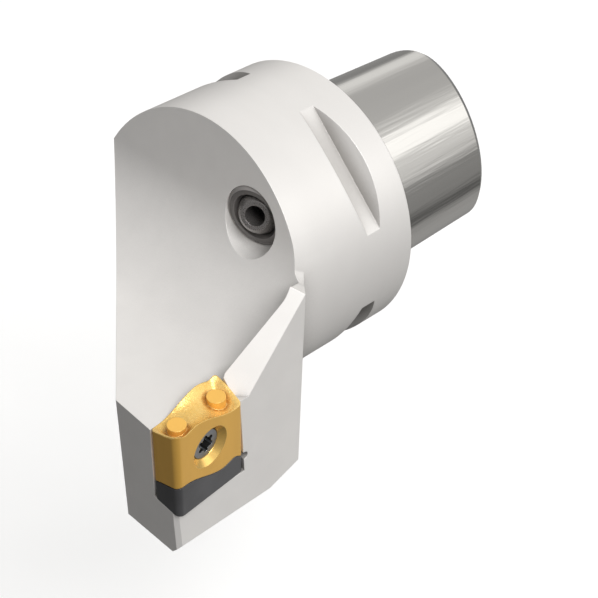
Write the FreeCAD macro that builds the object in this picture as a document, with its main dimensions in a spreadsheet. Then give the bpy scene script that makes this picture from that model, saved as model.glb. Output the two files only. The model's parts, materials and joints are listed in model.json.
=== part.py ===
import FreeCAD, Part
import Sketcher
import math
import os

# A polygon-taper turning head, right hand, with a tangential insert and an aimed coolant nozzle.
# Frame: the origin is the centre of the flange's rear (gauge) face. +Y runs back along the shank,
# +X is the cutting side and +Z is up. The cutting tip lies at z = 0. Millimetres and degrees.

os.makedirs("parts", exist_ok=True)
doc = FreeCAD.newDocument("turning_tool_holder")
V = FreeCAD.Vector

SIZES = [
    # Flange and coupling, size 40
    ("flange_dia", 40.0),
    ("flange_len", 20.0),
    ("rim_chamfer", 0.5),
    ("polygon_dia", 28.0),
    ("polygon_ecc", 0.9),
    ("shank_len", 24.0),
    ("taper_ratio", 20.0),
    ("shank_chamfer", 1.0),
    ("root_relief", 0.35),
    ("root_depth", 0.5),
    # Clamping bore inside the shank
    ("clamp_bore_dia", 18.0),
    ("clamp_bore_depth", 24.0),
    ("bore_chamfer", 0.8),
    ("segment_groove_dia", 21.0),
    ("segment_groove_width", 4.0),
    ("segment_groove_setback", 9.0),
    ("thread_minor_dia", 12.4),
    ("thread_depth", 15.0),
    ("channel_dia", 3.0),
    ("channel_angle", 42.0),
    # Gripper slots in the flange
    ("slot_centre", 7.6),
    ("slot_floor_width", 2.5),
    ("slot_floor_height", 17.7),
    ("slot_wall_angle", 32.0),
    # Head
    ("tip_reach", 27.0),
    ("tip_length", 50.0),
    ("lead_angle", 5.0),
    ("end_clearance", 5.0),
    ("face_width", 12.0),
    ("side_angle", 40.4),
    ("side_lean", 2.5),
    ("flank_recess", 1.7),
    ("flank_rear", 27.0),
    ("head_depth", 22.9),
    ("head_top", 10.0),
    ("forging_dia", 64.6),
    ("forging_end", 32.2),
    ("forging_rear_dia", 62.4),
    ("underside_start", 36.0),
    ("underside_angle", 26.0),
    ("underside_tilt", 5.0),
    ("belly_width", 13.0),
    ("front_edge_chamfer", 0.5),
    # Gullet and the bevelled ridge behind the insert
    ("gullet_drop", 2.0),
    ("gullet_radius", 14.0),
    ("wall_lean", 7.7),
    ("ridge_start", 21.8),
    ("ridge_angle", 12.8),
    ("ridge_turn", 28.3),
    ("ridge_corner_radius", 3.0),
    ("ridge_rear_angle", 35.0),
    ("ridge_rise", 48.8),
    ("ridge_fall", 48.0),
    ("ridge_peak", 8.75),
    ("ridge_descent", 36.5),
    ("ridge_root_radius", 2.0),
    # Insert and its seat
    ("insert_len", 11.85),
    ("insert_thick", 5.0),
    ("insert_height", 10.8),
    ("insert_drop", 2.0),
    ("insert_dip", 0.3),
    ("insert_groove", 1.1),
    ("insert_corner", 0.8),
    ("insert_relief", 3.4),
    ("knob_dia", 2.4),
    ("knob_offset", 3.5),
    ("knob_drop", 0.85),
    ("shim_floor", 14.0),
    ("shim_gap", 0.12),
    ("pocket_gap", 0.05),
    ("pocket_relief_dia", 2.2),
    ("edge_relief_dia", 1.1),
    # Screws
    ("screw_dia", 3.0),
    ("screw_head_dia", 4.1),
    ("screw_head_height", 1.9),
    ("screw_sink", 0.8),
    ("screw_grip", 7.0),
    ("screw_recess_dia", 2.7),
    ("screw_recess_depth", 1.5),
    ("screw_clearance", 0.1),
    ("shim_screw_dia", 2.3),
    ("shim_screw_head_dia", 3.4),
    ("shim_screw_head_height", 1.2),
    ("shim_screw_grip", 5.0),
    ("shim_screw_recess_dia", 1.5),
    ("shim_screw_recess_depth", 0.8),
    # Coolant nozzle
    ("nozzle_x", 9.65),
    ("nozzle_z", 9.55),
    ("nozzle_face", 20.5),
    ("nozzle_pan", 10.0),
    ("nozzle_dip", 5.0),
    ("nozzle_bore_dia", 9.0),
    ("nozzle_len", 6.6),
    ("nozzle_fit", 0.04),
    ("nozzle_rim_chamfer", 0.45),
    ("nozzle_mouth_dia", 6.7),
    ("nozzle_mouth_depth", 0.8),
    ("ball_dia", 6.0),
    ("ball_sink", 1.5),
    ("ball_hole_dia", 2.8),
    ("ball_flat_dia", 4.0),
    ("ball_clearance", 0.1),
    ("ball_lip_dia", 5.75),
    ("ball_tilt", 23.0),
    ("ball_tilt_towards", 54.0),
    ("seal_dia", 7.4),
    ("seal_hole_dia", 3.6),
    ("seal_fit", 0.08),
]

sheet = doc.addObject("Spreadsheet::Sheet", "Sizes")
for row, (alias, number) in enumerate(SIZES, start=1):
    sheet.set("A%d" % row, alias)
    sheet.set("B%d" % row, str(number))
    sheet.setAlias("B%d" % row, alias)
doc.recompute()


def size(alias):
    return float(sheet.get(alias))


def tan(alias):
    return math.tan(math.radians(size(alias)))


# Helpers for sketches, bodies and booleans

def new_sketch(body, name, role):
    """Add a sketch on one of the body's own origin planes."""
    sketch = body.newObject("Sketcher::SketchObject", name)
    plane = [o for o in body.Origin.OriginFeatures if o.Role == role][0]
    sketch.AttachmentSupport = (plane, [""])
    sketch.MapMode = "FlatFace"
    return sketch


def outline(sketch, corners):
    """Draw a closed polygon whose corners are bound to pairs of expressions."""
    count = len(corners)
    start = [V(20 * math.cos(2 * math.pi * k / count), 20 * math.sin(2 * math.pi * k / count), 0)
             for k in range(count)]
    for k in range(count):
        sketch.addGeometry(Part.LineSegment(start[k], start[(k + 1) % count]), False)
    for k in range(count):
        sketch.addConstraint(Sketcher.Constraint("Coincident", k, 2, (k + 1) % count, 1))
    for k, (across, along) in enumerate(corners):
        for kind, expression, value in (("DistanceX", across, start[k].x), ("DistanceY", along, start[k].y)):
            index = sketch.addConstraint(Sketcher.Constraint(kind, -1, 1, k, 1, value))
            sketch.setExpression("Constraints[%d]" % index, expression)


def pad_body(name, role, corners, length, reverse=False, midplane=False):
    """Make a body that is one padded polygon."""
    body = doc.addObject("PartDesign::Body", name)
    sketch = new_sketch(body, name + "_outline", role)
    outline(sketch, corners)
    pad = body.newObject("PartDesign::Pad", name + "_pad")
    pad.Profile = sketch
    pad.Reversed = reverse
    pad.Midplane = midplane
    pad.setExpression("Length", length)
    body.Tip = pad
    return body


def turned_body(name, corners):
    """Make a body that is one half profile, radius and Y, turned about the Y axis."""
    body = doc.addObject("PartDesign::Body", name)
    sketch = new_sketch(body, name + "_profile", "XY_Plane")
    outline(sketch, corners)
    turned = body.newObject("PartDesign::Revolution", name + "_turned")
    turned.Profile = sketch
    turned.ReferenceAxis = (sketch, ["V_Axis"])
    turned.Angle = 360
    body.Tip = turned
    return body


def joined(kind, name, members):
    result = doc.addObject(kind, name)
    result.Shapes = members
    return result


def cut(name, base, tool):
    result = doc.addObject("Part::Cut", name)
    result.Base = base
    result.Tool = tool
    return result


def cylinder(name, radius, height, placement):
    """Make a cylinder bound to the sheet, laid by its placement."""
    solid = doc.addObject("Part::Cylinder", name)
    solid.setExpression("Radius", radius)
    solid.setExpression("Height", height)
    solid.Placement = placement
    return solid


def fixed_shape(name, shape):
    """Add a shape that the code worked out from the sheet."""
    feature = doc.addObject("Part::Feature", name)
    feature.Shape = shape
    return feature


def laid_along(base, axis):
    """Placement that sends +Z to an axis from a base point."""
    return FreeCAD.Placement(base, FreeCAD.Rotation(V(0, 0, 1), axis))


# Insert frame: the tip, the two edge directions in plan and the leaning upright

lead = math.radians(size("lead_angle"))
TIP = V(size("tip_reach"), -size("tip_length"), 0)
SIDE = V(-math.sin(lead), math.cos(lead), 0)
FRONT = V(-math.cos(lead), math.sin(lead), 0)
UPRIGHT = V(tan("insert_relief"), -tan("end_clearance"), 1)
OUTWARD = SIDE.cross(UPRIGHT).normalize()
FRONT_RUN = size("insert_thick") / math.cos(2 * lead)
HEAD_RIM = 0.25  # straight rim of a screw's countersunk head
SCREW_POINT = 0.4  # chamfer at a screw's end
SHIM_WEB = 1.2  # steel left under the shim screw's head
SEAT_EASE = 0.12  # play between the shim screw's head and its seat cone


def seat_point(along, across, height):
    """Point by run along the side edge, run along the front edge and height."""
    return TIP + SIDE * along + FRONT * across + UPRIGHT * height


def edge_height(share):
    """Height of the outer cutting edge at a share of the insert's length."""
    step = min(max((share - 0.3) / 0.6, 0.0), 1.0)
    fall = size("insert_drop") * (0.5 - 0.5 * math.cos(math.pi * step))
    dip = size("insert_dip") * math.sin(math.pi * min(share / 0.3, 1.0))
    return -fall - dip


STATIONS = [0.0, 0.1, 0.2, 0.3, 0.42, 0.5, 0.58, 0.7, 0.8, 0.9, 1.0]


def face_sag(share):
    """Depth of the dished rake face, which runs out towards both ends."""
    end = min(share, 1 - share) / 0.2
    return size("insert_groove") * (0.1 + 0.9 * math.sin(math.pi / 2 * min(end, 1.0)))


def section(share, top_out, top_in, low_out, low_in, top_sag, low_sag):
    """One cross wire of the insert or shim: two upright sides and two arched faces."""
    along = share * size("insert_len")
    a = seat_point(along, 0, low_out)
    b = seat_point(along, 0, top_out)
    c = seat_point(along, FRONT_RUN, top_in)
    d = seat_point(along, FRONT_RUN, low_in)
    top_mid = seat_point(along, FRONT_RUN / 2, (top_out + top_in) / 2 - top_sag)
    low_mid = seat_point(along, FRONT_RUN / 2, (low_out + low_in) / 2 + low_sag)

    def face_edge(p, q, mid, sag):
        return Part.Arc(p, mid, q).toShape() if sag > 1e-6 else Part.makeLine(p, q)

    return Part.Wire([Part.makeLine(a, b), face_edge(b, c, top_mid, top_sag), Part.makeLine(c, d),
                      face_edge(d, a, low_mid, low_sag)])


def upright_corners(solid, radius):
    """Round the four upright corner edges of a lofted piece."""
    direction = FreeCAD.Vector(UPRIGHT).normalize()
    edges = []
    for edge in solid.Edges:
        ends = [v.Point for v in edge.Vertexes]
        if len(ends) == 2:
            run = ends[1] - ends[0]
            if run.Length > 2 and abs(run.normalize().dot(direction)) > 0.999:
                edges.append(edge)
    return solid.makeFillet(radius, edges)


# Tool body

def shank_radius(y):
    """Mean radius of the taper at a distance behind the gauge face."""
    return size("polygon_dia") / 2 - y / (2 * size("taper_ratio"))


def shank_profile(radius, y):
    """Three-lobed outline r cos(a) - 2e cos(2a) + e cos(4a), with its lobes at 90, 210 and 330."""
    ecc = size("polygon_ecc")
    turn = math.radians(30)
    points = []
    for k in range(72):
        a = 2 * math.pi * k / 72
        px = radius * math.cos(a) - 2 * ecc * math.cos(2 * a) + ecc * math.cos(4 * a)
        pz = radius * math.sin(a) + 2 * ecc * math.sin(2 * a) + ecc * math.sin(4 * a)
        across = px * math.cos(turn) - pz * math.sin(turn)
        points.append(V(across, y, px * math.sin(turn) + pz * math.cos(turn)))
    curve = Part.BSplineCurve()
    curve.interpolate(points, PeriodicFlag=True)
    return Part.Wire(curve.toShape())


def make_shank():
    """Three-lobed taper shank, from its root inside the flange to its chamfered end."""
    length = size("shank_len")
    chamfer = size("shank_chamfer")
    sink = size("root_depth") + 1.0
    shoulder = length - chamfer
    cone = Part.makeLoft([shank_profile(shank_radius(-sink), -sink),
                          shank_profile(shank_radius(shoulder), shoulder)], True, True)
    end = Part.makeLoft([shank_profile(shank_radius(shoulder), shoulder),
                         shank_profile(shank_radius(length) - chamfer * 0.6, length)], True, True)
    return fixed_shape("polygon_shank", cone.fuse(end).removeSplitter())


def make_root_cut():
    """Recess in the gauge face that leaves a relief groove round the root of the shank."""
    wide = shank_radius(0) + size("root_relief")
    recess = Part.makeLoft([shank_profile(wide, -size("root_depth")), shank_profile(wide, 1)], True, True)
    return fixed_shape("root_recess", recess)


def make_head():
    """Turned envelope with the head block, before the milled cuts."""
    radius = "Sizes.flange_dia / 2"
    reach = "-Sizes.tip_length"
    turned = turned_body("turned_envelope", [
        ("0", "0"), (radius + " - Sizes.rim_chamfer", "0"), (radius, "-Sizes.rim_chamfer"),
        (radius, reach), ("0", reach)])
    relieved = cut("relieved_envelope", turned, make_root_cut())
    flank = "(Sizes.tip_reach - Sizes.flank_recess)"
    depth = "-Sizes.head_depth"
    low_side = "Sizes.tip_reach - Sizes.face_width - Sizes.belly_width"
    cross = pad_body("head_cross_section", "XZ_Plane", [
        ("0", "Sizes.head_top"), ("Sizes.tip_reach + 5", "Sizes.head_top"),
        ("Sizes.tip_reach + 5", depth + " + (Sizes.face_width + 8) * tan(Sizes.underside_tilt)"),
        ("Sizes.tip_reach - Sizes.face_width - 3", depth), (low_side, "-Sizes.flange_dia / 2 + 1.2"),
        ("0", "-5")],
        "Sizes.tip_length")
    blend_y = "-Sizes.flank_rear + (" + flank + " - Sizes.flange_dia / 2 + 6)"
    plan = pad_body("head_plan", "XY_Plane", [
        ("-Sizes.flange_dia", "-Sizes.tip_length - 5"), (flank, "-Sizes.tip_length - 5"),
        (flank, "-Sizes.flank_rear"), ("Sizes.flange_dia / 2 - 6", blend_y), ("-Sizes.flange_dia", blend_y)],
        "4 * Sizes.head_depth", midplane=True)
    bevel_y = "-Sizes.underside_start"
    side = pad_body("head_side", "YZ_Plane", [
        ("-Sizes.tip_length - 5", depth), (bevel_y, depth),
        ("-Sizes.flange_len + 8",
         depth + " + (Sizes.underside_start - Sizes.flange_len + 8) * tan(Sizes.underside_angle)"),
        ("-Sizes.flange_len + 8", "Sizes.head_top + 5"), ("-Sizes.tip_length - 5", "Sizes.head_top + 5")],
        "4 * Sizes.tip_reach", midplane=True)
    forging = turned_body("forging_envelope", [
        ("0", "-Sizes.tip_length - 6"), ("Sizes.forging_dia / 2", "-Sizes.tip_length - 6"),
        ("Sizes.forging_dia / 2", "-Sizes.forging_end"), ("Sizes.forging_rear_dia / 2", "-Sizes.flank_rear"),
        ("Sizes.flange_dia / 2 - 2", "-Sizes.flange_len + 8"), ("0", "-Sizes.flange_len + 8")])
    block = joined("Part::MultiCommon", "head_block", [cross, plan, side, forging])
    return joined("Part::MultiFuse", "head_blank", [relieved, block, make_shank()])


def make_side_cut():
    """Slanting cut along the head's far side, upright above the gullet floor and leaning in below it."""
    reach = size("tip_reach") - size("face_width")
    start = -size("tip_length") + size("face_width") * math.tan(lead)
    slant = math.radians(size("side_angle"))
    back = V(-math.cos(slant), math.sin(slant), 0)
    corner = V(reach, start, 0)
    high = size("flange_dia")
    flange = -size("flange_len")
    run = (flange + 8 - start) / back.y
    end = corner + back * run
    before = corner - back * 10
    inward = V(back.y, -back.x, 0)
    fall = inward * tan("side_lean") - V(0, 0, 1)
    far = end.x - high
    plan = [before, end, V(far, end.y, 0), V(far, before.y - 5, 0), V(before.x, before.y - 5, 0)]
    wire = Part.makePolygon([p - V(0, 0, size("gullet_drop")) for p in plan + plan[:1]])
    upper = Part.Face(wire).extrude(V(0, 0, high))
    lower = Part.Face(wire).extrude(fall * high)
    return fixed_shape("far_side_cut", upper.fuse(lower))


def make_front_cut():
    """Front face: leads back from the tip and leans in below it."""
    wide = size("flange_dia") * 2
    floor = seat_point(0, 0, -size("gullet_drop")) + FRONT * FRONT_RUN
    base = floor + FRONT * wide - UPRIGHT * wide
    across = FRONT * (-2 * wide)
    up = UPRIGHT * (2 * wide)
    wire = Part.makePolygon([base, base + across, base + across + up, base + up, base])
    return fixed_shape("front_face_cut", Part.Face(wire).extrude(V(0, -20, 0)))


def make_gullet_cut():
    """Chip gullet: level floor, one large radius and the leaning back wall."""
    floor = -size("gullet_drop")
    radius = size("gullet_radius")
    lean = math.radians(size("wall_lean"))
    top = size("flange_dia") / 2 + 3

    def wall_y(z):
        return -size("flange_len") - math.tan(lean) * (size("flange_dia") / 2 - z)

    centre_z = floor + radius
    centre_y = wall_y(centre_z) - radius / math.cos(lean)
    foot = V(0, centre_y, floor)
    middle_angle = (math.pi / 2 - lean) / 2 - math.pi / 2
    middle = V(0, centre_y + radius * math.cos(middle_angle), centre_z + radius * math.sin(middle_angle))
    head = V(0, centre_y + radius * math.cos(lean), centre_z - radius * math.sin(lean))
    front = -size("tip_length") - 5
    wire = Part.Wire([
        Part.makeLine(V(0, front, floor), foot), Part.Arc(foot, middle, head).toShape(),
        Part.makeLine(head, V(0, wall_y(top), top)), Part.makeLine(V(0, wall_y(top), top), V(0, front, top)),
        Part.makeLine(V(0, front, top), V(0, front, floor))])
    wire.translate(V(-size("flange_dia"), 0, 0))
    full = Part.Face(wire).extrude(V(2 * size("flange_dia"), 0, 0))

    # Plan of the gullet: it opens over the insert, runs along the ridge, then turns in to the flange.
    outer = seat_point(size("insert_len") + size("pocket_gap"), -10, 0)
    out_angle = math.radians(size("ridge_angle"))
    in_angle = math.radians(size("ridge_rear_angle"))
    along = V(math.sin(out_angle), math.cos(out_angle), 0)
    inward = V(-math.sin(in_angle), math.cos(in_angle), 0)
    start_y = seat_point(size("insert_len") + size("pocket_gap"), FRONT_RUN, 0).y
    start = V(size("ridge_start"), start_y, 0)
    corner = start + along * ((-size("ridge_turn") - start_y) / along.y)
    radius_c = size("ridge_corner_radius")
    setback = radius_c * math.tan((out_angle + in_angle) / 2)
    arc_from = corner - along * setback
    arc_to = corner + inward * setback
    centre = arc_from + V(-along.y, along.x, 0) * radius_c
    arc_mid = centre + (corner - centre).normalize() * radius_c
    back_y = wall_y(top) + 1
    inside = corner + inward * ((back_y - corner.y) / inward.y)
    low = floor - 1
    far = -size("flange_dia")
    points = [V(far, back_y, 0), V(far, front, 0), V(-far, front, 0), V(-far, outer.y, 0), outer,
              V(start.x, outer.y, 0), arc_from]
    edges = [Part.makeLine(p, q) for p, q in zip(points, points[1:])]
    edges.append(Part.Arc(arc_from, arc_mid, arc_to).toShape())
    edges += [Part.makeLine(arc_to, inside), Part.makeLine(inside, points[0])]
    plan = Part.Face(Part.Wire(edges))
    plan.translate(V(0, 0, low))
    upright = plan.extrude(V(0, 0, top - low + 1))
    reach = size("tip_length")
    within = Part.makeCylinder(size("flange_dia") / 2 + 0.01, reach, V(0, -reach, 0), V(0, 1, 0))
    return fixed_shape("gullet_cut", full.common(upright.fuse(within)))


def make_ridge_cut():
    """Bevel over the ridge: a face that climbs rearwards and falls to the side."""
    floor = -size("gullet_drop")
    rise = tan("ridge_rise")
    fall = tan("ridge_fall")
    flank_x = size("tip_reach") - size("flank_recess")
    land_y = -size("flank_rear") - (size("ridge_peak") - floor) / rise
    run = 30.0
    wide = 12.0

    def bevel(x, y):
        return V(x, y, floor + fall * (flank_x - x) + rise * (y - land_y))

    left, right = flank_x - wide, flank_x + 4
    front, rear = land_y - run, land_y + run
    wire = Part.makePolygon([bevel(left, front), bevel(right, front), bevel(right, rear), bevel(left, rear),
                             bevel(left, front)])
    above = Part.Face(wire).extrude(V(0, 0, 90))
    level = Part.makeBox(wide + 8, 2 * run, 60, V(left - 2, front, floor))
    return fixed_shape("ridge_bevel_cut", above.common(level))


def make_descent_cut():
    """Behind its peak the ridge runs down to the flange, with a round root where it meets it."""
    flank_x = size("tip_reach") - size("flank_recess")
    peak = V(flank_x, -size("flank_rear"), size("ridge_peak"))
    back = V(0, 1, 0)
    across = V(1, 0, 0)
    slope = back - V(0, 0, tan("ridge_descent"))
    start = peak - slope * 6
    high = V(0, 0, 30)
    corners = [start, peak + slope * 16, peak + back * 16 + high, start + high, start]
    wire = Part.makePolygon([c - across * 12 for c in corners])
    tool = Part.Face(wire).extrude(across * 24)
    flange = Part.makeCylinder(size("flange_dia") / 2, 40, V(0, -40, 0), V(0, 1, 0))
    tool = tool.cut(flange)
    tool = max(tool.Solids, key=lambda solid: solid.BoundBox.XMax)
    normal = slope.cross(across).normalize()
    roots = []
    for edge in tool.Edges:
        ends = [v.Point for v in edge.Vertexes]
        if edge.Curve.TypeId == "Part::GeomLine" or len(ends) != 2:
            continue
        if all(abs((p - peak).dot(normal)) < 1e-4 for p in ends):
            roots.append(edge)
    return fixed_shape("ridge_descent_cut", tool.makeFillet(size("ridge_root_radius"), roots))


def make_pocket_cut():
    """Seat of the insert and shim, open to the front, the side and the top, with its corner reliefs."""
    gap = size("pocket_gap")
    low = -size("shim_floor")
    high = size("head_top") + 12
    plan = [seat_point(-8, -8, low), seat_point(size("insert_len") + gap, -8, low),
            seat_point(size("insert_len") + gap, FRONT_RUN + gap, low), seat_point(-8, FRONT_RUN + gap, low)]
    seat = Part.Face(Part.makePolygon(plan + plan[:1])).extrude(UPRIGHT * (high - low))
    corner = seat_point(size("insert_len") - 0.2, FRONT_RUN - 0.2, low)
    relief = Part.makeCylinder(size("pocket_relief_dia") / 2, high - low, corner, UPRIGHT)
    joint_z = -size("insert_height") - size("shim_gap") - 0.5
    notch = Part.makeCylinder(size("edge_relief_dia") / 2, FRONT_RUN + 6,
                              seat_point(size("insert_len") + 0.2, -5, joint_z), FRONT)
    return fixed_shape("seat_cut", seat.fuse([relief, notch]))


def screw_axis_start():
    """Point on the insert's outer face where the screw axis leaves it."""
    return seat_point(size("insert_len") / 2, 0, -size("insert_height") / 2)


def shim_screw_start():
    """Point on the pocket floor under the middle of the shim."""
    return seat_point(size("insert_len") / 2, FRONT_RUN / 2, -size("shim_floor"))


def make_slot_cuts():
    """Four straight gripper slots at 45 degrees to the axes."""
    half = "Sizes.slot_floor_width / 2"
    top = "(Sizes.flange_dia / 2 - Sizes.slot_floor_height + 2)"
    spread = half + " + " + top + " * tan(Sizes.slot_wall_angle)"
    cuts = []
    for k in range(4):
        slot = pad_body("gripper_slot_%d" % (k + 1), "YZ_Plane", [
            ("-Sizes.slot_centre - " + half, "Sizes.slot_floor_height"),
            ("-Sizes.slot_centre + " + half, "Sizes.slot_floor_height"),
            ("-Sizes.slot_centre + " + spread, "Sizes.slot_floor_height + " + top),
            ("-Sizes.slot_centre - (" + spread + ")", "Sizes.slot_floor_height + " + top)],
            "Sizes.flange_dia", midplane=True)
        slot.Placement = FreeCAD.Placement(V(0, 0, 0), FreeCAD.Rotation(V(0, 1, 0), 45 + 90 * k))
        cuts.append(slot)
    return cuts


def make_bore_cut():
    """Stepped bore from the shank's end: clamping bore, segment groove, thread and drill point."""
    end = "Sizes.shank_len"
    open_end = end + " + 1"
    bore = "Sizes.clamp_bore_dia / 2"
    groove = "Sizes.segment_groove_dia / 2"
    thread = "Sizes.thread_minor_dia / 2"
    groove_rear = "Sizes.shank_len - Sizes.segment_groove_setback"
    groove_front = groove_rear + " - Sizes.segment_groove_width"
    step = "(Sizes.segment_groove_dia - Sizes.clamp_bore_dia) / 2"
    bottom = "Sizes.shank_len - Sizes.clamp_bore_depth"
    thread_end = bottom + " - Sizes.thread_depth"
    return turned_body("clamping_bore", [
        ("0", open_end), (bore + " + Sizes.bore_chamfer + 1", open_end),
        (bore, end + " - Sizes.bore_chamfer"), (bore, groove_rear + " + " + step),
        (groove, groove_rear), (groove, groove_front),
        (bore, groove_front + " - " + step), (bore, bottom + " + 1"), (thread, bottom),
        (thread, thread_end), ("0", thread_end + " - " + thread + " * 0.5")])


def nozzle_direction():
    """Unit vector out of the nozzle bore: forward, panned to the cutting side and dipped."""
    pan, dip = math.radians(size("nozzle_pan")), math.radians(size("nozzle_dip"))
    return V(math.sin(pan) * math.cos(dip), -math.cos(pan) * math.cos(dip), -math.sin(dip))


def nozzle_point(depth):
    """Point on the nozzle axis at a depth behind the ring's face."""
    return V(size("nozzle_x"), -size("nozzle_face"), size("nozzle_z")) - nozzle_direction() * depth


def make_nozzle_cuts():
    """Nozzle bore and the slanting channel from its floor to the threaded bore."""
    out = nozzle_direction()
    depth = size("nozzle_len") + 1.2
    bore = cylinder("nozzle_bore", "Sizes.nozzle_bore_dia / 2", "Sizes.nozzle_len + 12",
                    laid_along(nozzle_point(depth), out))
    floor = nozzle_point(depth)
    inward = V(-floor.x, 0, -floor.z).normalize()
    angle = math.radians(size("channel_angle"))
    run = inward * math.sin(angle) + V(0, math.cos(angle), 0)
    start = floor + inward * (size("nozzle_bore_dia") / 2 - size("channel_dia") / 2 - 0.8) - run * 1.5
    reach = math.hypot(floor.x, floor.z) / math.sin(angle) * 0.72
    channel = fixed_shape("coolant_channel", Part.makeCylinder(size("channel_dia") / 2, reach, start, run))
    return [bore, channel]


def make_tapped_holes():
    """Holes for the insert screw and the shim screw."""
    inner = screw_axis_start() - OUTWARD * size("insert_thick")
    insert_hole = cylinder("insert_screw_hole", "Sizes.screw_dia / 2 + Sizes.screw_clearance / 2",
                           "Sizes.screw_grip + 2.5", laid_along(inner + OUTWARD * 1.0, OUTWARD * -1))
    floor = shim_screw_start()
    shim_hole = cylinder("shim_screw_hole", "Sizes.shim_screw_dia / 2 + Sizes.screw_clearance / 2",
                         "Sizes.shim_screw_grip + 2", laid_along(floor + V(0, 0, 1), V(0, 0, -1)))
    return [insert_hole, shim_hole]


def make_edge_chamfer_cut():
    """Small flat on the upright edge between the front face and the flank, below the shim."""
    flank_x = size("tip_reach") - size("flank_recess")
    edge = V(flank_x, -size("tip_length") + size("flank_recess") * math.tan(lead), 0)
    upright = V(0, -tan("end_clearance"), 1)
    normal = V(1, -1, 0).normalize()
    across = V(1, 1, 0).normalize()
    base = edge - upright * (size("head_depth") + 3) - normal * (size("front_edge_chamfer") * 0.7)
    wire = Part.makePolygon([base - across * 4, base + across * 4, base + across * 4 + upright * 40,
                             base - across * 4 + upright * 40, base - across * 4])
    return fixed_shape("front_edge_cut", Part.Face(wire).extrude(normal * 6))


def make_tool_body():
    blank = make_head()
    cuts = [make_side_cut(), make_front_cut(), make_gullet_cut(), make_ridge_cut(), make_descent_cut(),
            make_pocket_cut(), make_bore_cut(), make_edge_chamfer_cut()]
    cuts += make_slot_cuts() + make_nozzle_cuts() + make_tapped_holes()
    body = blank
    for k, tool in enumerate(cuts):
        body = cut("milled_%d" % (k + 1), body, tool)
    return body


# Insert, shim and screws

def countersink(mouth, axis):
    """A 45 degree entry down to the sunk head, and the seat that the head's cone rests on."""
    fit = size("screw_clearance")
    head_r = size("screw_head_dia") / 2 + fit
    hole_r = size("screw_dia") / 2 + fit
    sink = size("screw_sink")
    entry = Part.makeCone(head_r + sink, head_r, sink, mouth, axis)
    rim = Part.makeCylinder(head_r, HEAD_RIM, mouth + axis * sink, axis)
    cone_top = mouth + axis * (sink + HEAD_RIM)
    seat = Part.makeCone(head_r, hole_r, size("screw_head_height") - HEAD_RIM, cone_top, axis)
    return [entry, rim, seat]


def make_insert():
    """Tangential insert: S-curved edges, dished rake faces with two knobs each, double countersink."""
    height = size("insert_height")
    wires = []
    for share in STATIONS:
        out, back = edge_height(share), edge_height(1 - share)
        sag = face_sag(share)
        wires.append(section(share, out, back, -height - back, -height - out, sag, sag))
    solid = Part.makeLoft(wires, True, False)
    solid = upright_corners(solid, size("insert_corner"))
    for offset in (-size("knob_offset"), size("knob_offset")):
        foot = seat_point(size("insert_len") / 2 + offset, FRONT_RUN / 2, -height + size("knob_drop"))
        tall = (height - 2 * size("knob_drop")) * UPRIGHT.Length
        solid = solid.fuse(Part.makeCylinder(size("knob_dia") / 2, tall, foot, UPRIGHT))
    start = screw_axis_start()
    thick = size("insert_thick")
    hole_r = size("screw_dia") / 2 + size("screw_clearance")
    hole = Part.makeCylinder(hole_r, thick + 4, start + OUTWARD * 2, OUTWARD * -1)
    sinks = countersink(start, OUTWARD * -1) + countersink(start - OUTWARD * thick, OUTWARD)
    return fixed_shape("insert_solid", solid.cut([hole] + sinks).removeSplitter())


def make_shim():
    """Shim with a top that follows the insert's underside, hollows for its knobs and a countersunk hole."""
    height = size("insert_height")
    gap = size("shim_gap")
    low = -size("shim_floor")
    wires = []
    for share in STATIONS:
        out, back = -height - edge_height(1 - share) - gap, -height - edge_height(share) - gap
        wires.append(section(share, out, back, low, low, 0, 0))
    solid = upright_corners(Part.makeLoft(wires, True, False), size("insert_corner"))
    cuts = []
    for offset in (-size("knob_offset"), size("knob_offset")):
        foot = seat_point(size("insert_len") / 2 + offset, FRONT_RUN / 2, -height + size("knob_drop"))
        cuts.append(Part.makeCylinder(size("knob_dia") / 2 + gap, height, foot - UPRIGHT * gap, UPRIGHT))
    floor = shim_screw_start()
    hole_r = size("shim_screw_dia") / 2 + size("screw_clearance")
    head_r = size("shim_screw_head_dia") / 2 + size("screw_clearance")
    cuts.append(Part.makeCylinder(hole_r, 12, floor - V(0, 0, 2), V(0, 0, 1)))
    cone_z = SHIM_WEB - SEAT_EASE
    cone = size("shim_screw_head_height") - SEAT_EASE
    cuts.append(Part.makeCone(hole_r, head_r, cone, floor + V(0, 0, cone_z), V(0, 0, 1)))
    cuts.append(Part.makeCylinder(head_r, 8, floor + V(0, 0, cone_z + cone), V(0, 0, 1)))
    return fixed_shape("shim_solid", solid.cut(cuts))


def six_lobe(diameter, depth, base, axis):
    """Six-lobe drive recess as one core and six round lobes."""
    core = Part.makeCylinder(diameter * 0.36, depth, V(0, 0, 0), V(0, 0, 1))
    lobes = []
    for k in range(6):
        a = math.radians(60 * k)
        centre = V(diameter * 0.38 * math.cos(a), diameter * 0.38 * math.sin(a), 0)
        lobes.append(Part.makeCylinder(diameter * 0.12, depth, centre, V(0, 0, 1)))
    recess = core.fuse(lobes).removeSplitter()
    recess.Placement = laid_along(base, axis)
    return recess


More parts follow.
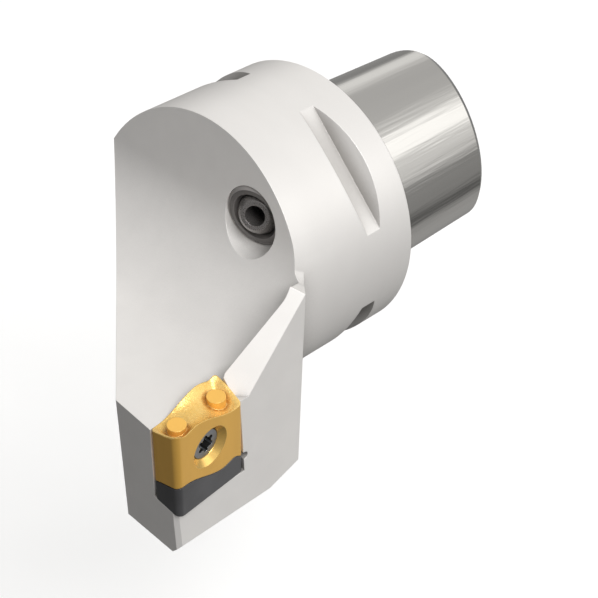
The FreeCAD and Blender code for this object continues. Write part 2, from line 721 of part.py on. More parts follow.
def make_screw(name, head_top, axis, head_dia, head_height, shank_dia, length, recess):
    """Countersunk screw along an axis into the work, with a six-lobe recess of a width and depth."""
    rim_end = head_top + axis * HEAD_RIM
    head = Part.makeCone(head_dia / 2, shank_dia / 2, head_height - HEAD_RIM, rim_end, axis)
    cap = Part.makeCylinder(head_dia / 2, HEAD_RIM, head_top, axis)
    plain = length - SCREW_POINT
    shank = Part.makeCylinder(shank_dia / 2, plain - head_height, head_top + axis * head_height, axis)
    tip_r = shank_dia / 2 - SCREW_POINT
    point = Part.makeCone(shank_dia / 2, tip_r, SCREW_POINT, head_top + axis * plain, axis)
    solid = cap.fuse([head, shank, point]).removeSplitter()
    return fixed_shape(name, solid.cut(six_lobe(recess[0], recess[1], head_top, axis)))


def make_insert_screw():
    return make_screw("insert_screw_solid", screw_axis_start() - OUTWARD * size("screw_sink"), OUTWARD * -1,
                      size("screw_head_dia"), size("screw_head_height"), size("screw_dia"),
                      size("insert_thick") - size("screw_sink") + size("screw_grip"),
                      (size("screw_recess_dia"), size("screw_recess_depth")))


def make_shim_screw():
    head_z = SHIM_WEB + size("shim_screw_head_height")
    return make_screw("shim_screw_solid", shim_screw_start() + V(0, 0, head_z), V(0, 0, -1),
                      size("shim_screw_head_dia"), size("shim_screw_head_height"), size("shim_screw_dia"),
                      head_z + size("shim_screw_grip"),
                      (size("shim_screw_recess_dia"), size("shim_screw_recess_depth")))


# Coolant nozzle: turned pieces are drawn on the Y axis, the ring's face at y = 0, then placed in the bore

def on_nozzle_axis(turned):
    turned.Placement = FreeCAD.Placement(nozzle_point(0), FreeCAD.Rotation(V(0, -1, 0), nozzle_direction()))
    return turned


def nozzle_sphere(name, radius):
    sphere = doc.addObject("Part::Sphere", name)
    sphere.setExpression("Radius", radius)
    sphere.Placement = FreeCAD.Placement(nozzle_point(size("ball_sink")), FreeCAD.Rotation())
    return sphere


def jet_direction():
    """Where the ball's jet hole points: the bore's direction tilted up and to the cutting side."""
    out = nozzle_direction()
    angle = math.radians(size("ball_tilt_towards"))
    side = V(math.cos(angle), 0, math.sin(angle))
    side = (side - out * side.dot(out)).normalize()
    tilt = math.radians(size("ball_tilt"))
    return out * math.cos(tilt) + side * math.sin(tilt)


def make_nozzle_ring():
    """Ring that holds the ball: rim chamfer, coned mouth, ball lip and a rear bore for the seal."""
    out = "Sizes.nozzle_bore_dia / 2 - Sizes.nozzle_fit"
    lip = "Sizes.ball_lip_dia / 2"
    seal = "Sizes.seal_dia / 2 + Sizes.seal_fit"
    turned = turned_body("nozzle_ring_turned", [
        (lip, "Sizes.nozzle_mouth_depth"), ("Sizes.nozzle_mouth_dia / 2", "0"),
        (out + " - Sizes.nozzle_rim_chamfer", "0"), (out, "Sizes.nozzle_rim_chamfer"),
        (out, "Sizes.nozzle_len"), (seal, "Sizes.nozzle_len"),
        (seal, "Sizes.ball_sink + 1"), (lip, "Sizes.ball_sink + 1")])
    on_nozzle_axis(turned)
    seat = nozzle_sphere("ring_ball_seat", "Sizes.ball_dia / 2 + Sizes.ball_clearance")
    return cut("nozzle_ring_solid", turned, seat)


def make_nozzle_ball():
    """Ball with a flat nose and tail and a straight jet hole, aimed along the jet."""
    ball = nozzle_sphere("ball_blank", "Sizes.ball_dia / 2")
    centre = nozzle_point(size("ball_sink"))
    jet = jet_direction()
    flat = math.sqrt((size("ball_dia") / 2) ** 2 - (size("ball_flat_dia") / 2) ** 2)
    flat_to_flat = "2 * sqrt((Sizes.ball_dia / 2)^2 - (Sizes.ball_flat_dia / 2)^2)"
    slab = cylinder("ball_slab", "Sizes.ball_dia", flat_to_flat,
                    laid_along(centre - jet * flat, jet))
    faced = joined("Part::MultiCommon", "ball_faced", [ball, slab])
    hole = cylinder("jet_hole", "Sizes.ball_hole_dia / 2", "2 * Sizes.ball_dia",
                    laid_along(centre - jet * size("ball_dia"), jet))
    return cut("nozzle_ball_solid", faced, hole)


def make_nozzle_seal():
    """Seal ring behind the ball, dished to it."""
    turned = turned_body("nozzle_seal_turned", [
        ("Sizes.seal_hole_dia / 2", "Sizes.ball_sink + 1.15"),
        ("Sizes.seal_dia / 2", "Sizes.ball_sink + 1.15"),
        ("Sizes.seal_dia / 2", "Sizes.nozzle_len"), ("Sizes.seal_hole_dia / 2", "Sizes.nozzle_len")])
    on_nozzle_axis(turned)
    seat = nozzle_sphere("seal_ball_seat", "Sizes.ball_dia / 2 + Sizes.ball_clearance / 2")
    return cut("nozzle_seal_solid", turned, seat)


PIECES = [
    ("tool_body", make_tool_body),
    ("cutting_insert", make_insert),
    ("insert_screw", make_insert_screw),
    ("shim", make_shim),
    ("shim_screw", make_shim_screw),
    ("nozzle_ring", make_nozzle_ring),
    ("nozzle_ball", make_nozzle_ball),
    ("nozzle_seal", make_nozzle_seal),
]

pieces = []
for label, maker in PIECES:
    piece = maker()
    piece.Label = label
    pieces.append((label, piece))
doc.recompute()

for item in doc.Objects:
    if "Invalid" in item.State or "Error" in item.State:
        raise ValueError("object did not build: " + item.Name)

for label, piece in pieces:
    shape = piece.Shape
    if shape.isNull() or not shape.isValid():
        raise ValueError("shape is not valid: " + label)
    if len(shape.Solids) != 1:
        raise ValueError("%s has %d solids" % (label, len(shape.Solids)))
    shape.exportStep("parts/%s.step" % label)
    box = shape.BoundBox
    print("%-15s %9.1f mm3  x %.2f %.2f  y %.2f %.2f  z %.2f %.2f" % (
        label, shape.Volume, box.XMin, box.XMax, box.YMin, box.YMax, box.ZMin, box.ZMax))
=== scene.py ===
"""Finish, lights and camera of the turning tool holder: a Blender add-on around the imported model."""
import json
import math

import bmesh
import bpy
from bpy.props import FloatProperty, FloatVectorProperty, PointerProperty
from bpy.types import Operator, Panel, PropertyGroup
from mathutils import Matrix, Vector


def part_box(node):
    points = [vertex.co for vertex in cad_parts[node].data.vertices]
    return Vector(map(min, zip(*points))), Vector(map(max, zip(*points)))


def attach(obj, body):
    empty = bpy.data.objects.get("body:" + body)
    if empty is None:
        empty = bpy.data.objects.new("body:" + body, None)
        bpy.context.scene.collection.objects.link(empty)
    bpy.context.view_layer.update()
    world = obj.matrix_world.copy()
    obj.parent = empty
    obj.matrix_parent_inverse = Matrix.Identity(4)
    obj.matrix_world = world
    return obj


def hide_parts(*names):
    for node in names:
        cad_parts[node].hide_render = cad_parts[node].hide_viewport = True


bl_info = {
    "name": "Turning Tool Holder Finish",
    "version": (1, 0, 0),
    "blender": (4, 5, 0),
    "location": "3D View > Sidebar > Tool Holder",
    "description": "Dresses a turning tool holder with ground, blasted and coated metal",
    "category": "Object",
}

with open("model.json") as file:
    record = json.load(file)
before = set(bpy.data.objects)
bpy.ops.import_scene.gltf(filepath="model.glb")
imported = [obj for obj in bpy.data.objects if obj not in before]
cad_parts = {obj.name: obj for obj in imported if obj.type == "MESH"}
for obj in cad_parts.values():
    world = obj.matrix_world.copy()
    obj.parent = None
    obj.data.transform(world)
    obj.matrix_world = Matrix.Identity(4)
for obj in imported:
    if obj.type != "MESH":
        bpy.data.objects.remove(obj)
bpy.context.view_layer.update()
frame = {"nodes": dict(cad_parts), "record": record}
BODY_OF = {node: body for body, nodes in frame["record"]["behaviour"]["bodies"].items() for node in nodes}
JOINT = {joint["name"]: joint for joint in frame["record"]["behaviour"]["joints"]}
SCREW_POINT = Vector(JOINT["clamp_screw_turn"]["pos_m"])
SCREW_AXIS = Vector(JOINT["clamp_screw_turn"]["axis"]).normalized()
NOZZLE_POINT = Vector(JOINT["nozzle_turn"]["pos_m"])
NOZZLE_AXIS = Vector(JOINT["nozzle_turn"]["axis"]).normalized()

MM = 0.001
IMAGE_WIDTH = 598
SENSOR_WIDTH = 36.0

# The gauge face is the plane y = 0: the taper shank lies behind it, flange and head before it
GAUGE_FACE_Y = 0.0
FLANGE_RADIUS = 20 * MM
FLANGE_LENGTH = 20 * MM
SLOT_FLOOR = 17.2 * MM

# Colours of details in the finishes. The first and the last are painted shade, for hollows and for the feet of
# the knobs
PAINTED_SHADE_TONE = (0.42, 0.41, 0.40, 1.0)
GOLD_DEEP = (0.88, 0.56, 0.15, 1.0)
GOLD_PALE = (0.96, 0.64, 0.21, 1.0)
GOLD_EDGE = (1.0, 0.76, 0.30, 1.0)
GOLD_FOOT_PAINTED_SHADE = (0.50, 0.36, 0.22, 1.0)

# The insert's rear corner, and how much of it is lowered how far
INSERT_LOW, INSERT_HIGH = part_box("cutting_insert")
REAR_CORNER = Vector((INSERT_LOW.x + 0.63 * MM, INSERT_HIGH.y - 1.16 * MM, INSERT_HIGH.z))
CORNER_DROP = 0.3 * MM
CORNER_REACH = 0.35 * MM
CORNER_DEPTH = 0.5 * MM
CORNER_BLEND = 1.8 * MM

# Slopes, radii and the area that tell the zones of a piece apart
TOP_SLOPE = 0.95
RAKE_SLOPE = 0.35
COUNTERSINK_RADIUS = 3.0 * MM
SOCKET_RADIUS = 1.32 * MM
KNOB_AREA = 2.0 * MM * MM
NOZZLE_FACE_RADIUS = 3.95 * MM

# Mesh clean-up
MERGE_DISTANCE = 0.002 * MM
FLAT_ANGLE = math.radians(0.4)
CREASE_ANGLE = math.radians(28)


class FinishSizes(PropertyGroup):
    """Colours and fine sizes of the metal finishes."""
    steel: FloatVectorProperty(name="Blasted steel", description="Colour of flange and head", subtype="COLOR",
                               size=3, min=0, max=1, default=(0.82, 0.80, 0.778))
    ground: FloatVectorProperty(name="Ground steel", description="Colour of the taper shank", subtype="COLOR",
                                size=3, min=0, max=1, default=(0.63, 0.62, 0.60))
    gold: FloatVectorProperty(name="Coating", description="Colour of the insert's coating", subtype="COLOR",
                              size=3, min=0, max=1, default=(0.92, 0.53, 0.115))
    carbide: FloatVectorProperty(name="Carbide", description="Colour of the bare shim", subtype="COLOR",
                                 size=3, min=0, max=1, default=(0.135, 0.135, 0.14))
    oxide: FloatVectorProperty(name="Black oxide", description="Colour of the nozzle", subtype="COLOR",
                               size=3, min=0, max=1, default=(0.135, 0.128, 0.124))
    screw: FloatVectorProperty(name="Screw steel", description="Colour of the screws", subtype="COLOR",
                               size=3, min=0, max=1, default=(0.36, 0.38, 0.41))
    rubber: FloatVectorProperty(name="Rubber", description="Colour of the seal", subtype="COLOR",
                                size=3, min=0, max=1, default=(0.02, 0.02, 0.02))
    edge_radius: FloatProperty(name="Edge radius", description="Radius to which sharp edges look broken",
                               default=0.12 * MM, min=0.0, unit="LENGTH")
    blast_grain: FloatProperty(name="Blast grain", description="Size of the grain on the blasted steel",
                               default=0.18 * MM, min=0.0, unit="LENGTH")
    press_grain: FloatProperty(name="Press grain", description="Size of the grain on the insert's rake face",
                               default=0.16 * MM, min=0.0, unit="LENGTH")


class StageSizes(PropertyGroup):
    """Camera, lamps and floor."""
    azimuth: FloatProperty(name="Azimuth", description="Camera's turn round Z", subtype="ANGLE",
                           default=math.radians(43.125))
    elevation: FloatProperty(name="Elevation", description="Camera's rise over the floor", subtype="ANGLE",
                             default=math.radians(36.281))
    roll: FloatProperty(name="Roll", description="Camera's tilt about its own line of sight", subtype="ANGLE",
                        default=math.radians(2.353))
    distance: FloatProperty(name="Distance", description="Camera's distance along its view",
                            default=228.9 * MM, unit="LENGTH")
    aside: FloatProperty(name="Aside", description="Camera's shift to its right", default=-1.403 * MM,
                         unit="LENGTH")
    above: FloatProperty(name="Above", description="Camera's shift upwards", default=-15.407 * MM,
                         unit="LENGTH")
    focal_pixels: FloatProperty(name="Focal length", description="Focal length in pixels of the image width",
                                default=1588.1)
    key_strength: FloatProperty(name="Key lamp", description="Strength of the key lamp", default=2.5)
    floor_drop: FloatProperty(name="Floor drop", description="Height of the floor under the gauge axis",
                              default=150 * MM, unit="LENGTH")


# Selection and mesh helpers

def only(piece):
    """Selects one object and makes it active."""
    bpy.ops.object.select_all(action="DESELECT")
    piece.select_set(True)
    bpy.context.view_layer.objects.active = piece


def merged_copy(node, name):
    """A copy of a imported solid, its triangles merged to whole faces and shaded smooth up to its creases."""
    piece = bpy.data.objects.new(name, frame["nodes"][node].data.copy())
    bpy.context.scene.collection.objects.link(piece)
    piece.data.materials.clear()
    only(piece)
    if piece.data.has_custom_normals:
        bpy.ops.mesh.customdata_custom_splitnormals_clear()
    bpy.ops.object.mode_set(mode="EDIT")
    bpy.ops.mesh.select_all(action="SELECT")
    bpy.ops.mesh.remove_doubles(threshold=MERGE_DISTANCE)
    bpy.ops.mesh.dissolve_limited(angle_limit=FLAT_ANGLE)
    bpy.ops.object.mode_set(mode="OBJECT")
    bpy.ops.object.shade_smooth_by_angle(angle=CREASE_ANGLE)
    return piece


def from_axis(point, origin, axis):
    """Distance of a point from an axis."""
    arm = point - origin
    return (arm - axis * arm.dot(axis)).length


def paint(piece, finishes, zone):
    """Gives a piece its finishes, one for each face by the zone that a test returns."""
    for name in finishes:
        piece.data.materials.append(bpy.data.materials[name])
    for face in piece.data.polygons:
        face.material_index = zone(face, [piece.data.vertices[index].co for index in face.vertices])


def stand_for(piece, node):
    """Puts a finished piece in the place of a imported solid, on the solid's own body."""
    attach(piece, BODY_OF[node])
    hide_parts(node)


# Shader node helpers

class Nodes:
    """Adds nodes to one tree and links them by name."""

    def __init__(self, tree):
        self.tree = tree
        tree.nodes.clear()

    def add(self, kind, **settings):
        """A node of this kind. A setting names an attribute, or an input that gets a value or a link."""
        node = self.tree.nodes.new("ShaderNode" + kind)
        for key, value in settings.items():
            if hasattr(node, key) and key not in node.inputs:
                setattr(node, key, value)
            else:
                self.put(node.inputs[key.replace("_", " ")], value)
        return node

    def put(self, socket, value):
        """Links or sets one input."""
        if isinstance(value, bpy.types.NodeSocket):
            self.tree.links.new(value, socket)
        else:
            socket.default_value = value

    def math(self, operation, first, second=0.0, clamp=False):
        node = self.add("Math", operation=operation, use_clamp=clamp)
        self.put(node.inputs[0], first)
        self.put(node.inputs[1], second)
        return node.outputs[0]

    def mix(self, factor, first, second, blend="MIX"):
        """Mixes two colours."""
        node = self.add("Mix", data_type="RGBA", blend_type=blend)
        self.put(node.inputs[0], factor)
        self.put(node.inputs[6], first)
        self.put(node.inputs[7], second)
        return node.outputs[2]

    def spread(self, value, low, high, to_low, to_high):
        """Maps one range of a value to another, clamped."""
        node = self.add("MapRange")
        for index, item in enumerate((value, low, high, to_low, to_high)):
            self.put(node.inputs[index], item)
        return node.outputs[0]


def rgba(colour, factor=1.0):
    return (*[channel * factor for channel in colour[:3]], 1.0)


def group_tree(name, inputs, outputs):
    """An empty shader node group with float inputs and outputs, built once."""
    tree = bpy.data.node_groups.new(name, "ShaderNodeTree")
    for socket, default in inputs:
        made = tree.interface.new_socket(socket, in_out="INPUT", socket_type="NodeSocketFloat")
        made.default_value = default
    for socket, kind in outputs:
        tree.interface.new_socket(socket, in_out="OUTPUT", socket_type=kind)
    return tree


def broken_edge_group():
    """Rounded normal at sharp edges and a mask of the outer edges where handling has polished them."""
    tree = group_tree("broken_edge", [("Radius", 0.1 * MM), ("Grain", 0.4 * MM)],
                      [("Mask", "NodeSocketFloat"), ("Normal", "NodeSocketVector")])
    nodes = Nodes(tree)
    ins = tree.nodes.new("NodeGroupInput")
    outs = tree.nodes.new("NodeGroupOutput")
    round_off = nodes.add("Bevel", samples=6)
    nodes.put(round_off.inputs["Radius"], ins.outputs["Radius"])
    surface = nodes.add("NewGeometry")
    dot = nodes.add("VectorMath", operation="DOT_PRODUCT")
    nodes.put(dot.inputs[0], round_off.outputs["Normal"])
    nodes.put(dot.inputs[1], surface.outputs["Normal"])
    turned = nodes.math("SUBTRACT", 1.0, dot.outputs["Value"])
    place = nodes.add("TexCoord")
    rub = nodes.add("TexNoise", Scale=nodes.math("DIVIDE", 1.0, ins.outputs["Grain"]), Detail=3.0)
    nodes.put(rub.inputs["Vector"], place.outputs["Object"])
    worn = nodes.math("MULTIPLY", nodes.spread(turned, 0.02, 0.22, 0.0, 1.0),
                      nodes.spread(rub.outputs[0], 0.35, 0.6, 0.3, 1.0))
    nodes.put(outs.inputs["Mask"], worn)
    nodes.put(outs.inputs["Normal"], round_off.outputs["Normal"])
    return tree


def recess_group():
    """Mask of narrow hollows, where the shade that falls in them is painted into the colour."""
    tree = group_tree("recess", [("Reach", 4.0 * MM)], [("Mask", "NodeSocketFloat")])
    nodes = Nodes(tree)
    ins = tree.nodes.new("NodeGroupInput")
    outs = tree.nodes.new("NodeGroupOutput")
    open_sky = nodes.add("AmbientOcclusion", samples=8, only_local=True)
    nodes.put(open_sky.inputs["Distance"], ins.outputs["Reach"])
    nodes.put(outs.inputs["Mask"], nodes.spread(open_sky.outputs["AO"], 0.66, 0.97, 1.0, 0.0))
    return tree


def metal_grain_group():
    """Grain of a surface: fine height, broad tone, speckle and streaks, stretched along one axis if asked."""
    inputs = [("Size", 0.2 * MM)] + [("Stretch " + axis, 1.0) for axis in "XYZ"]
    outputs = [(name, "NodeSocketFloat") for name in ("Height", "Tone", "Speckle", "Streak")]
    tree = group_tree("metal_grain", inputs, outputs)
    nodes = Nodes(tree)
    ins = tree.nodes.new("NodeGroupInput")
    outs = tree.nodes.new("NodeGroupOutput")
    place = nodes.add("TexCoord")
    stretch = nodes.add("CombineXYZ")
    for axis in "XYZ":
        nodes.put(stretch.inputs[axis], ins.outputs["Stretch " + axis])
    along = nodes.add("VectorMath", operation="DIVIDE")
    nodes.put(along.inputs[0], place.outputs["Object"])
    nodes.put(along.inputs[1], stretch.outputs["Vector"])
    pitch = nodes.math("DIVIDE", 1.0, ins.outputs["Size"])
    fine = nodes.add("TexNoise", Scale=pitch, Detail=4.0, Roughness=0.6)
    broad = nodes.add("TexNoise", Scale=nodes.math("MULTIPLY", pitch, 0.035), Detail=3.0, Roughness=0.55)
    streak = nodes.add("TexNoise", Scale=nodes.math("MULTIPLY", pitch, 0.3), Detail=2.0, Roughness=0.5)
    speck = nodes.add("TexVoronoi", Scale=nodes.math("MULTIPLY", pitch, 0.8))
    for texture in (fine, broad, streak, speck):
        nodes.put(texture.inputs["Vector"], along.outputs["Vector"])
    nodes.put(outs.inputs["Height"], fine.outputs[0])
    nodes.put(outs.inputs["Tone"], nodes.spread(broad.outputs[0], 0.3, 0.7, 0.0, 1.0))
    nodes.put(outs.inputs["Speckle"], nodes.spread(speck.outputs["Distance"], 0.1, 0.7, 1.0, 0.0))
    nodes.put(outs.inputs["Streak"], streak.outputs[0])
    return tree


class Metal:
    """One material with a Principled shader, its grain and its broken edges."""

    def __init__(self, name, grain, stretch=(1.0, 1.0, 1.0), edge=None):
        sizes = bpy.context.scene.finish_sizes
        self.material = bpy.data.materials.new(name)
        self.material.use_nodes = True
        self.nodes = Nodes(self.material.node_tree)
        self.shader = self.nodes.add("BsdfPrincipled")
        output = self.nodes.add("OutputMaterial")
        self.nodes.put(output.inputs["Surface"], self.shader.outputs[0])
        self.grain = self.nodes.add("Group", node_tree=bpy.data.node_groups["metal_grain"])
        self.nodes.put(self.grain.inputs["Size"], grain)
        for axis, factor in zip("XYZ", stretch):
            self.nodes.put(self.grain.inputs["Stretch " + axis], factor)
        self.edge = self.nodes.add("Group", node_tree=bpy.data.node_groups["broken_edge"])
        self.nodes.put(self.edge.inputs["Radius"], sizes.edge_radius if edge is None else edge)

    def finish(self, dark, pale, worn, rough, rough_worn, metallic, bump, wear=1.0, speckle=0.0, bright=None,
               recess=None, reach=4 * MM, streak=0.0):
        """Colour from dark to pale over the broad tone, specks, worn edges, and a bump from the grain."""
        nodes = self.nodes
        colour = nodes.mix(self.grain.outputs["Tone"], dark, pale)
        # Painted shade: the colour is darkened towards the given tone where ambient occlusion finds hollows
        # nearby
        if recess:
            shade_mask = nodes.add("Group", node_tree=bpy.data.node_groups["recess"])
            nodes.put(shade_mask.inputs["Reach"], reach)
            shaded = nodes.mix(1.0, colour, recess, blend="MULTIPLY")
            colour = nodes.mix(shade_mask.outputs["Mask"], colour, shaded)
        if speckle:
            colour = nodes.mix(nodes.math("MULTIPLY", self.grain.outputs["Speckle"], speckle), colour, bright)
        mask = nodes.math("MULTIPLY", self.edge.outputs["Mask"], wear, clamp=True)
        nodes.put(self.shader.inputs["Base Color"], nodes.mix(mask, colour, worn))
        unworn = nodes.spread(self.grain.outputs["Height"], 0.3, 0.7, rough * 0.92, rough * 1.08)
        roughness = nodes.add("Mix", data_type="FLOAT")
        nodes.put(roughness.inputs[0], mask)
        nodes.put(roughness.inputs[2], unworn)
        nodes.put(roughness.inputs[3], rough_worn)
        nodes.put(self.shader.inputs["Roughness"], roughness.outputs[0])
        nodes.put(self.shader.inputs["Metallic"], metallic)
        relief = nodes.add("Bump", Strength=1.0, Distance=bump)
        nodes.put(relief.inputs["Height"], self.grain.outputs["Height"])
        under = self.edge.outputs["Normal"]
        if streak:
            waves = nodes.add("Bump", Strength=1.0, Distance=streak)
            nodes.put(waves.inputs["Height"], self.grain.outputs["Streak"])
            nodes.put(waves.inputs["Normal"], under)
            under = waves.outputs["Normal"]
        nodes.put(relief.inputs["Normal"], under)
        nodes.put(self.shader.inputs["Normal"], relief.outputs["Normal"])
        return self.material


def blasted_steel():
    """Pale blasted and plated steel of flange, head and gullet."""
    sizes = bpy.context.scene.finish_sizes
    metal = Metal("blasted_steel", sizes.blast_grain)
    # Painted shade: darkened in slots, creases and other hollows
    return metal.finish(rgba(sizes.steel, 0.98), rgba(sizes.steel, 1.02), rgba(sizes.steel, 1.12), 0.5, 0.4,
                        0.25, 0.006 * MM, wear=0.5, recess=PAINTED_SHADE_TONE)


def turned_steel_painted_darker():
    """Plated steel of the turned flange, a little glossier than the blasted head and painted a little darker
    as painted shade.
    """
    sizes = bpy.context.scene.finish_sizes
    metal = Metal("turned_steel_painted_darker", sizes.blast_grain, stretch=(2.0, 1.0, 2.0))
    # Painted shade: a little darker overall than the head, and darker again in the slots
    return metal.finish(rgba(sizes.steel, 0.93), rgba(sizes.steel, 0.96), rgba(sizes.steel, 1.1), 0.44, 0.36,
                        0.3, 0.004 * MM, wear=0.5, recess=PAINTED_SHADE_TONE)


def ground_steel():
    """Bright shank steel with fine streaks along the taper."""
    sizes = bpy.context.scene.finish_sizes
    metal = Metal("ground_steel", 0.3 * MM, stretch=(1.0, 24.0, 1.0))
    return metal.finish(rgba(sizes.ground, 0.9), rgba(sizes.ground, 1.06), rgba(sizes.ground, 1.1), 0.14, 0.2,
                        1.0, 0.004 * MM, wear=0.4, streak=0.05 * MM)


def coated_carbide():
    """Gold coating on pressed and sintered carbide."""
    sizes = bpy.context.scene.finish_sizes
    metal = Metal("gold_coating", sizes.press_grain, stretch=(1.0, 1.0, 6.0), edge=0.16 * MM)
    return metal.finish(rgba(sizes.gold, 0.93), rgba(sizes.gold, 1.03), GOLD_EDGE, 0.38, 0.3,
                        0.4, 0.006 * MM, wear=1.0)


def pressed_gold():
    """Coating on the rake faces, which keep the grain of the pressed powder."""
    sizes = bpy.context.scene.finish_sizes
    metal = Metal("pressed_gold", sizes.press_grain * 2.2, edge=0.16 * MM)
    # Painted shade: darkened towards brown at the feet of the knobs
    return metal.finish(GOLD_DEEP, GOLD_PALE, GOLD_EDGE, 0.27, 0.25, 0.4, 0.07 * MM, wear=1.0, speckle=0.35,
                        bright=GOLD_EDGE, recess=GOLD_FOOT_PAINTED_SHADE, reach=0.7 * MM)


def polished_gold():
    """Coating in the countersink, smooth and bright."""
    sizes = bpy.context.scene.finish_sizes
    metal = Metal("polished_gold", sizes.press_grain, edge=0.14 * MM)
    return metal.finish(GOLD_DEEP, GOLD_PALE, GOLD_EDGE, 0.22, 0.18, 0.65, 0.003 * MM, wear=1.0)


def ground_gold():
    """Coating on the flat tops of the knobs."""
    sizes = bpy.context.scene.finish_sizes
    metal = Metal("ground_gold", sizes.press_grain, edge=0.1 * MM)
    return metal.finish(rgba(sizes.gold, 1.04), rgba(sizes.gold, 1.08), GOLD_EDGE, 0.42, 0.35,
                        0.3, 0.004 * MM, wear=0.6)


def bare_carbide():
    """Dark sintered carbide of the shim, ground on its flanks."""
    sizes = bpy.context.scene.finish_sizes
    metal = Metal("bare_carbide", 0.2 * MM, edge=0.07 * MM)
    return metal.finish(rgba(sizes.carbide, 0.85), rgba(sizes.carbide, 1.15), rgba(sizes.carbide, 2.2),
                        0.42, 0.3, 0.5, 0.006 * MM, wear=0.6)


def black_oxide():
    """Black oxide on the nozzle's turned pieces."""
    sizes = bpy.context.scene.finish_sizes
    metal = Metal("black_oxide", 0.15 * MM, edge=0.1 * MM)
    return metal.finish(rgba(sizes.oxide, 1.1), rgba(sizes.oxide, 1.35), rgba(sizes.oxide, 3.2), 0.38, 0.28,
                        0.6, 0.004 * MM, wear=0.9)


def ball_oxide_painted_lighter():
    """The ball's oxide, painted lighter than the ring's."""
    sizes = bpy.context.scene.finish_sizes
    metal = Metal("ball_oxide_painted_lighter", 0.12 * MM, edge=0.1 * MM)
    return metal.finish(rgba(sizes.oxide, 2.0), rgba(sizes.oxide, 2.5), rgba(sizes.oxide, 3.5), 0.28, 0.24,
                        0.75, 0.003 * MM, wear=0.9)


def screw_steel():
    """Tempered screw steel."""
    sizes = bpy.context.scene.finish_sizes
    metal = Metal("tempered_steel", 0.12 * MM, edge=0.1 * MM)
    return metal.finish(rgba(sizes.screw, 0.85), rgba(sizes.screw, 1.15), rgba(sizes.screw, 1.9), 0.3, 0.25,
                        0.9, 0.003 * MM, wear=0.7)


def socket_painted_shade():
    """Inside of a drive socket, painted nearly black as painted shade."""
    sizes = bpy.context.scene.finish_sizes
    metal = Metal("socket_painted_shade", 0.12 * MM, edge=0.05 * MM)
    return metal.finish(rgba(sizes.rubber, 0.7), rgba(sizes.rubber, 1.3), rgba(sizes.rubber, 3.0), 0.35, 0.3,
                        0.3, 0.003 * MM, wear=0.4)


def rim_painted_highlight():
    """Chamfer round the nozzle ring's face, painted lighter as a painted highlight line."""
    sizes = bpy.context.scene.finish_sizes
    metal = Metal("rim_painted_highlight", 0.12 * MM, edge=0.08 * MM)
    return metal.finish(rgba(sizes.oxide, 2.6), rgba(sizes.oxide, 3.2), rgba(sizes.oxide, 4.0), 0.4, 0.3,
                        0.4, 0.003 * MM, wear=0.6)


def seal_rubber():
    """Black rubber of the seal."""
    sizes = bpy.context.scene.finish_sizes
    metal = Metal("black_rubber", 0.1 * MM, edge=0.08 * MM)
    return metal.finish(rgba(sizes.rubber, 0.8), rgba(sizes.rubber, 1.2), rgba(sizes.rubber, 1.5), 0.7, 0.6,
                        0.0, 0.004 * MM, wear=0.3)


# Operators, one for each piece or group of like pieces

class TOOLHOLDER_OT_finishes(Operator):
    """Builds the shared node groups and every metal finish"""
    bl_idname = "toolholder.finishes"
    bl_label = "Metal Finishes"

    def execute(self, context):
        broken_edge_group()
        recess_group()
        metal_grain_group()
        for make in (blasted_steel, turned_steel_painted_darker, ground_steel, coated_carbide, bare_carbide, black_oxide,
                     ball_oxide_painted_lighter, screw_steel, seal_rubber, pressed_gold, polished_gold, ground_gold,
                     socket_painted_shade, rim_painted_highlight):
            make()
        return {"FINISHED"}


def on_flange(corners):
    """True for a face of the turned flange, its slots or the turned round under the head."""
    reach = [math.hypot(corner.x, corner.z) for corner in corners]
    rear = min(corner.y for corner in corners) > -FLANGE_LENGTH - 0.5 * MM
    turned = all(abs(radius - FLANGE_RADIUS) < 0.05 * MM for radius in reach)
    slotted = rear and min(reach) > SLOT_FLOOR and max(reach) < FLANGE_RADIUS + 0.05 * MM
    wall = max(corner.y for corner in corners) < -FLANGE_LENGTH + 5 * MM and not turned
    return turned or slotted and not wall


def one_zone(face, corners):
    """The only zone of a piece with one finish."""
    return 0


def body_zone(face, corners):
    """Blasted, ground behind the gauge face, or turned on the flange, whose steel is painted a little darker
    as painted shade.
    """
    if face.center.y > GAUGE_FACE_Y - 0.01 * MM:
        return 1
    return 2 if on_flange(corners) else 0


def insert_zone(face, corners):
    """Flank, rake face, countersink or the flat top of a knob."""
    if all(from_axis(corner, SCREW_POINT, SCREW_AXIS) < COUNTERSINK_RADIUS for corner in corners):
        return 2
    if abs(face.normal.z) > TOP_SLOPE and face.area > KNOB_AREA:
        return 3
    return 1 if abs(face.normal.z) > RAKE_SLOPE else 0


def screw_zone(face, corners):
    """Steel, or the drive socket sunk in the head, painted black as painted shade."""
    reach = max((corner - SCREW_POINT).dot(SCREW_AXIS) for corner in corners)
    depth = min((corner - SCREW_POINT).dot(SCREW_AXIS) for corner in corners)
    inside = all(from_axis(corner, SCREW_POINT, SCREW_AXIS) < SOCKET_RADIUS for corner in corners)
    return 1 if inside and reach < 0 and (depth < reach - 0.1 * MM or reach < -1.5 * MM) else 0


def ring_zone(face, corners):
    """Oxide, or the chamfer round the ring's face with its painted highlight."""
    slope = abs(face.normal.dot(NOZZLE_AXIS))
    at_rim = all(from_axis(corner, NOZZLE_POINT, NOZZLE_AXIS) > NOZZLE_FACE_RADIUS for corner in corners)
    return 1 if at_rim and 0.3 < slope < 0.95 else 0


